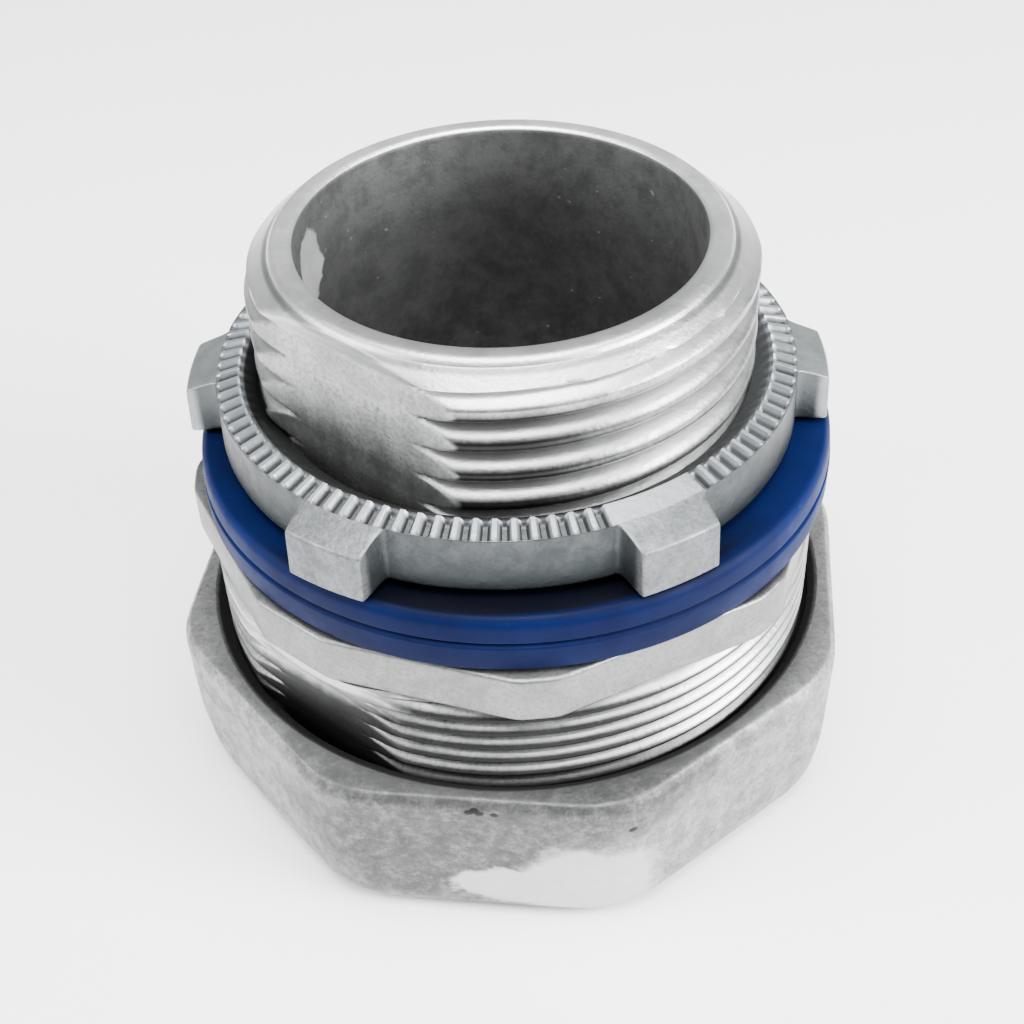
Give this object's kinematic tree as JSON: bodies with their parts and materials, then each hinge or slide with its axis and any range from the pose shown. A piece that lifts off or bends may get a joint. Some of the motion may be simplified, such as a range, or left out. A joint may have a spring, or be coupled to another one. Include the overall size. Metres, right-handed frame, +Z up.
{
  "type": "conduit compression fitting",
  "caption": "Threaded compression connector that clamps a rigid conduit and fixes it to an enclosure wall with a lugged locknut and a sealing ring.",
  "frame": {"origin": "centre of the compression nut's base, on the common axis", "axes": "+Z up the axis, out of the nipple's mouth; -Y is the front, between two of the locknut's lugs"},
  "size_m": [0.0484, 0.0484, 0.041],
  "materials": {
    "zinc_body": "satin die-cast zinc",
    "zinc_locknut": "satin die-cast zinc",
    "blue_sealing_ring": "satin moulded plastic",
    "zinc_nut": "matt die-cast zinc, mottled",
    "steel_washer": "zinc-plated steel",
    "black_rubber": "matt rubber",
    "steel_split_ring": "hardened steel"
  },
  "bodies": {
    "fitting_body": {"connector_body": "zinc_body"},
    "gland_pack": {"slip_washer": "steel_washer", "gland_seal": "black_rubber", "compression_ring": "steel_split_ring"},
    "gland_nut": {"compression_nut": "zinc_nut"},
    "seal_ring": {"sealing_ring": "blue_sealing_ring"},
    "lug_nut": {"locknut": "zinc_locknut"}
  },
  "joints": [
    {"name": "gland_slide", "type": "slide", "parent": "fitting_body", "child": "gland_pack", "axis": [0, 0, 1], "range_m": [-0.00381, 0.00191]},
    {"name": "gland_nut_turn", "type": "hinge", "parent": "gland_pack", "child": "gland_nut", "pos_m": [0, 0, 0], "axis": [0, 0, 1], "range_deg": [-1080, 540]},
    {"name": "ring_slide", "type": "slide", "parent": "fitting_body", "child": "seal_ring", "axis": [0, 0, 1], "range_m": [0, 0.00883]},
    {"name": "locknut_turn", "type": "hinge", "parent": "seal_ring", "child": "lug_nut", "pos_m": [0, 0, 0], "axis": [0, 0, 1], "range_deg": [0, 1440]}
  ],
  "couplings": [
    {"joint": "gland_nut_turn", "follows": "gland_slide", "rad_per_m": 4947.4},
    {"joint": "locknut_turn", "follows": "ring_slide", "rad_per_m": 2844.7}
  ]
}
